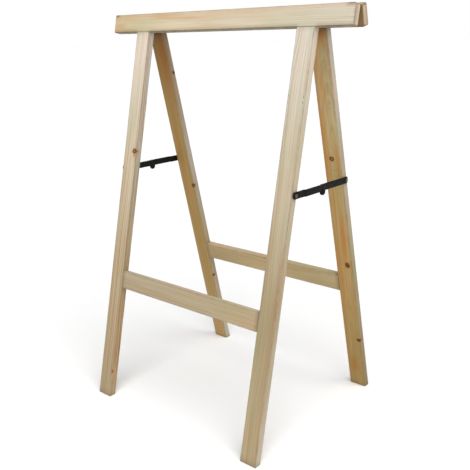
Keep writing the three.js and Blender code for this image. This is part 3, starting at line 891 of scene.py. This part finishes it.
def make_bar(side, word, half_span, height, ear_drop):
    node = f"stay_{side}_bar_{word}"
    sign = SIDES[side]
    flip = -WORDS[word]
    is_stepped = word == STEPPED[side]
    low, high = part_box(node)
    plain_low, plain_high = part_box(f"stay_{side}_bar_{PLAIN[side]}")
    thickness = plain_high.x - plain_low.x
    outer = sign * (high if sign > 0 else low).x
    plain_outer = sign * (plain_high if sign > 0 else plain_low).x
    inner = outer - thickness
    end = min(flip * low.y, flip * high.y)
    corner = STEPPED_CORNER if is_stepped else PLAIN_CORNER
    levels = eased_levels(thickness, BAR_EDGE)
    radii = [SCREW_HOLE] * len(levels)
    holes = [((-flip * half_span, height), radii), ((0, height - ear_drop), radii)]
    mesh = plate(bar_outline(height, ear_drop, end, corner, flip), holes, levels,
                 lambda a, b, h: Vector((sign * (inner + h), a, b)))
    mark_edges(mesh, (sign * inner, sign * outer))
    if is_stepped:
        bend_bar(mesh, half_span, flip, sign * (outer - plain_outer))
    smooth_mesh(mesh, 50)
    add_piece(node, mesh, f"stay_{side}_{word}", "black_steel", BLACK)


def head_profile(shape, radius, under, height):
    return [(radius * across, under + height * up) for across, up in shape]


def make_rivet(side, part, centre):
    node = f"stay_{side}_rivet_{part}"
    low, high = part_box(node)
    out = SIDES[side] if part == "outer" else -SIDES[side]
    inner_end = low.x if out > 0 else high.x
    head = high.x - low.x - RIVET_BASE
    profile = [(0, 0), (SHANK, 0), (SHANK, RIVET_BASE)]
    profile += head_profile(RIVET_DOME, (high.y - low.y) / 2, RIVET_BASE, head)
    mesh = turned(profile, (out, 0, 0), Vector((inner_end, centre.y, centre.z)))
    set_floats(mesh, "edge", [RIVET_WEAR] * len(mesh.vertices))
    word = STEPPED[side] if part == "outer" else PLAIN[side]
    add_piece(node, mesh, f"stay_{side}_{word}", "black_steel", BLACK)


def cross_cutter(top, direction, up, reach, depth):
    """Two crossed tapering arms, through the `top` of a head and down to `depth`."""
    side = direction.cross(up)
    verts, faces = [], []
    for arm, other in ((up, side), (side, up)):
        rings = []
        for height, share, wide in zip((DRIVER_TOP, -depth), (1.0, DRIVER_NARROWS), DRIVER_HALF_WIDE):
            rings.append(range(len(verts), len(verts) + 4))
            for a, b in SQUARE:
                verts.append(top + direction * height + arm * (a * reach * share) + other * (b * wide))
        faces += [*band(*rings), *rings]
    return solid("recess", verts, faces)


def cross_recess(mesh, top, direction, up, reach, depth):
    """Cuts a cross-shaped driver recess into the head of a screw."""
    cutter = new_object("recess", cross_cutter(top, direction, up, reach, depth))
    blank = new_object("blank", mesh)
    cut = blank.modifiers.new("recess", "BOOLEAN")
    cut.operation = "DIFFERENCE"
    cut.solver = "EXACT"
    cut.use_self = True
    cut.object = cutter
    ready = blank.evaluated_get(bpy.context.evaluated_depsgraph_get())
    result = bpy.data.meshes.new_from_object(ready)
    bpy.data.objects.remove(blank)
    bpy.data.objects.remove(cutter)
    with editing(result) as work:
        bmesh.ops.dissolve_degenerate(work, dist=0.005 * MM, edges=work.edges)
        bmesh.ops.triangulate(work, faces=[face for face in work.faces if len(face.verts) > 4])
    smooth_mesh(result)
    return result


def make_stay_screw(side, word, at):
    node = f"stay_{side}_screw_{word}"
    low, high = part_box(node)
    tip = Vector((low.x if SIDES[side] > 0 else high.x, at.y, at.z))
    under = high.x - low.x - SCREW_HEAD - SCREW_SUNK
    profile = [*SCREW_TIP, (SHANK, under)]
    profile += head_profile(PAN_HEAD, (high.y - low.y) / 2, under, SCREW_HEAD)
    direction = Vector((SIDES[side], 0, 0))
    blank = turned(profile, direction, tip)
    top = tip + direction * (under + SCREW_HEAD)
    up = Matrix.Rotation(math.radians(DRIVER_TURNS[word]), 3, "X") @ Vector((0, 0, 1))
    mesh = cross_recess(blank, top, direction, up, reach=1.9 * MM, depth=1.0 * MM)
    add_piece(node, mesh, f"{word}_frame", "zinc_steel", SCREW_ZINC)


def make_washer(side, word, at):
    node = f"stay_{side}_washer_{word}"
    low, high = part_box(node)
    edge = WASHER_EDGE
    radius = (high.y - low.y) / 2
    thick = high.x - low.x + CLEARANCE
    under = [(SCREW_HOLE, edge), (SCREW_HOLE + edge, 0), (radius - edge, 0), (radius, edge)]
    profile = under + [(across, thick - up) for across, up in reversed(under)]
    start = Vector((low.x - CLEARANCE / 2, at.y, at.z))
    mesh = turned(profile, (1, 0, 0), start, closed=True)
    add_piece(node, mesh, f"{word}_frame", "zinc_steel", SCREW_ZINC)


def make_stays():
    for side in SIDES:
        pivot = Vector(JOINTS[f"stay_{side}_front_pivot"]["pos_m"])
        half_span, height = -pivot.y, pivot.z
        low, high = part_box(f"stay_{side}_rivet_outer")
        rivet = Vector((0, 0, (low.z + high.z) / 2))
        for word in WORDS:
            make_bar(side, word, half_span, height, height - rivet.z)
            at = Vector(JOINTS[f"stay_{side}_{word}_pivot"]["pos_m"])
            make_stay_screw(side, word, at)
            make_washer(side, word, at)
        for part in ("outer", "inner"):
            make_rivet(side, part, rivet)


# ---- hinges ----

LEAF_THICK = 1 * MM
LEAF_CORNER = 1.5 * MM
LEAF_EDGE = 0.12 * MM
LEAF_HOLE = 1.5 * MM  # radius of a screw hole against the wood
LEAF_HOLE_FLARE = 1.2 * MM  # how much wider it is on the open side
LEAF_SCREWS = (1, 2)
KNUCKLE = 2 * MM  # radius of the barrels, which the leaves lie flush with
KNUCKLE_BORE = 1.25 * MM
KNUCKLES = 3
OWN_KNUCKLES = {"front": (0, 2), "rear": (1,)}
PIN_EDGE = 0.3 * MM

LEAF_SCREW_SHANK = 1.25 * MM
LEAF_SCREW_HEAD = 1.1 * MM
LEAF_SCREW_EDGE = 0.08 * MM
LEAF_SCREW_POINT = 1.5 * MM


def knuckle_ends(low, high, index, gap):
    """Where a knuckle starts and ends along the pin; a leaf's own end knuckles reach its ends."""
    pitch = (high.x - low.x) / KNUCKLES
    start = low.x + index * pitch + (gap if index > 0 else 0)
    end = low.x + (index + 1) * pitch - (gap if index < KNUCKLES - 1 else 0)
    return start, end


def leaf_outline(low, high, own):
    """A leaf's plate in X and Z, anticlockwise, notched for the other leaf's knuckles."""
    outline = [(low.x, low.z + LEAF_CORNER), (low.x + LEAF_CORNER, low.z),
               (high.x - LEAF_CORNER, low.z), (high.x, low.z + LEAF_CORNER)]
    for index in reversed(range(KNUCKLES)):
        is_own = index in own
        top = 0.0 if is_own else -(KNUCKLE + CLEARANCE)
        start, end = knuckle_ends(low, high, index, CLEARANCE / 2 if is_own else -CLEARANCE / 2)
        outline += [(end, top), (start, top)]
    return [Vector(point) for point in outline]


def leaf_holes(side, word, levels):
    """Countersunk holes, narrow against the wood and wide on the open side."""
    radii = [LEAF_HOLE + LEAF_HOLE_FLARE * height / LEAF_THICK for height, inset in levels]
    holes = []
    for number in LEAF_SCREWS:
        low, high = upright_box(f"hinge_{side}_screw_{word}_{number}", word)
        middle = (low + high) / 2
        holes.append(((middle.x, middle.z), radii))
    return holes


def make_hinge_leaf(side, word):
    """A leaf: a plate with countersunk holes, and the barrels round the pin that belong to it."""
    node = f"hinge_{side}_leaf_{word}"
    low, high = upright_box(node, word)
    place = stand(word)
    own = OWN_KNUCKLES[word]
    levels = eased_levels(LEAF_THICK, LEAF_EDGE)
    mesh = plate(leaf_outline(low, high, own), leaf_holes(side, word, levels), levels,
                 lambda a, b, h: place @ Vector((a, WORDS[word] * (KNUCKLE - h), b)))
    with editing(mesh) as work:
        for index in own:
            start, end = knuckle_ends(low, high, index, CLEARANCE / 2)
            run = end - start
            profile = [(KNUCKLE_BORE, 0), (KNUCKLE - LEAF_EDGE, 0), (KNUCKLE, LEAF_EDGE),
                       (KNUCKLE, run - LEAF_EDGE), (KNUCKLE - LEAF_EDGE, run), (KNUCKLE_BORE, run)]
            barrel = turned(profile, (1, 0, 0), place @ Vector((start, 0, 0)), closed=True)
            work.from_mesh(barrel)
            bpy.data.meshes.remove(barrel)
    smooth_mesh(mesh)
    add_piece(node, mesh, f"{word}_frame", "zinc_steel", HINGE_ZINC)


def make_hinge_screw(side, word, number):
    node = f"hinge_{side}_screw_{word}_{number}"
    low, high = upright_box(node, word)
    place = stand(word)
    turn = place.to_3x3()
    top = (low + high) / 2
    top.y = high.y if word == "front" else low.y
    top = place @ top
    head = (high.x - low.x) / 2
    length = high.y - low.y
    profile = [(0, 0), (0.92 * head, 0), (head, LEAF_SCREW_EDGE), (LEAF_SCREW_SHANK, LEAF_SCREW_HEAD),
               (LEAF_SCREW_SHANK, length - LEAF_SCREW_POINT), (0.2 * MM, length - 0.1 * MM), (0, length)]
    direction = turn @ Vector((0, WORDS[word], 0))
    blank = turned(profile, direction, top)
    up = Matrix.Rotation(math.radians(20 + 35 * number), 3, direction) @ (turn @ Vector((0, 0, 1)))
    mesh = cross_recess(blank, top, -direction, up, reach=1.5 * MM, depth=0.7 * MM)
    add_piece(node, mesh, f"{word}_frame", "zinc_steel", SCREW_ZINC)


def make_hinge_pin(side):
    node = f"hinge_{side}_pin"
    low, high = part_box(node)
    radius = (high.z - low.z) / 2 + CLEARANCE / 2
    length = high.x - low.x
    end = [(0, 0), (radius - PIN_EDGE, 0), (radius - 0.3 * PIN_EDGE, 0.3 * PIN_EDGE), (radius, PIN_EDGE)]
    profile = end + [(across, length - along) for across, along in reversed(end)]
    mesh = turned(profile, (1, 0, 0), Vector((low.x, PIN.y, PIN.z)))
    add_piece(node, mesh, "front_frame", "zinc_steel", SCREW_ZINC)


def make_hinges():
    for side in SIDES:
        make_hinge_pin(side)
        for word in WORDS:
            make_hinge_leaf(side, word)
            for number in LEAF_SCREWS:
                make_hinge_screw(side, word, number)


def dress_dowels():
    """The dowels are hidden in the joints, so the CAD solids stay, in beech."""
    for name, node in frame["nodes"].items():
        if "_dowel_" in name:
            node.data.materials.clear()
            node.data.materials.append(BEECH)


# ---- stage, lights and camera ----

CAMERA_AT = Vector((0.8494, -0.9531, 0.7044))
CAMERA_TURN = math.radians(41.28)  # from looking along +Y, towards -X
CAMERA_TILT = math.radians(16.28)  # downwards
CAMERA_ROLL = math.radians(1.37)
CAMERA_LENS = 52.2  # for a 36 mm wide sensor

LAMP_TURN = math.radians(57)  # the way it shines, measured as for the camera
LAMP_TILT = math.radians(60)
LAMP_SOFTNESS = math.radians(50)
LAMP_STRENGTH = 2.7

SKY_EDGE = 0.22  # height of the pale band round the horizon, as a sine
SKY_DIM_FROM = 0.55  # the same for where the dimmer sky begins
SKY_PALE = 1.0
SKY_DIM = 0.22

FLOOR_REACH = 60.0
FLOOR_DROP = 0.2 * MM  # so that the feet don't flicker against it


def facing(turn, tilt):
    """A direction, turned from +Y towards -X and tilted down."""
    return Vector((-math.sin(turn) * math.cos(tilt), math.cos(turn) * math.cos(tilt), -math.sin(tilt)))


def make_camera():
    data = bpy.data.cameras.new("camera")
    data.lens = CAMERA_LENS
    data.sensor_width = 36
    data.clip_start = 0.05
    camera = new_object("camera", data)
    level = facing(CAMERA_TURN, CAMERA_TILT).to_track_quat("-Z", "Y").to_matrix()
    turn = level @ Matrix.Rotation(-CAMERA_ROLL, 3, "Z")
    camera.matrix_world = Matrix.Translation(CAMERA_AT) @ turn.to_4x4()
    bpy.context.scene.camera = camera


def make_floor():
    mesh = bpy.data.meshes.new("floor")
    corners = [(x * FLOOR_REACH, y * FLOOR_REACH, -FLOOR_DROP) for x, y in SQUARE]
    mesh.from_pydata(corners, [], [(0, 1, 2, 3)])
    s = Shading("floor_look")
    cloud = s.noise(s.place("Object"), 1, scale=3, detail=3)
    s.color = s.mix(cloud, srgb(253, 253, 253), srgb(251, 251, 251))
    mesh.materials.append(s.surface(0.9, cloud, 0.02, 0.1 * MM))
    new_object("floor", mesh)


def make_lamp():
    """A soft far-off lamp, high on the right."""
    data = bpy.data.lights.new("key", "SUN")
    data.energy = LAMP_STRENGTH
    data.angle = LAMP_SOFTNESS
    lamp = new_object("key", data)
    lamp.rotation_mode = "QUATERNION"
    lamp.rotation_quaternion = facing(LAMP_TURN, LAMP_TILT).to_track_quat("-Z", "Y")


def make_world():
    """White all round at eye level and dimmer overhead, where the lamp does the work."""
    s = Shading("studio", "worlds")
    rise = s.split(s.place("Generated"))[2]
    glow = s.remap(rise, SKY_EDGE, SKY_DIM_FROM, SKY_PALE, SKY_DIM)
    sky = s.node("ShaderNodeBackground", {"Color": (1.0, 1.0, 1.0, 1.0), "Strength": glow})
    s.node("ShaderNodeOutputWorld", {"Surface": sky.outputs["Background"]})
    bpy.context.scene.world = s.owner


def show_true_colors():
    view = bpy.context.scene.view_settings
    view.view_transform = "Standard"
    view.look = "None"


# ---- everything together ----

make_front_frame()
make_rear_frame()
make_stays()
make_hinges()
dress_dowels()
make_floor()
make_world()
make_lamp()
show_true_colors()
make_camera()
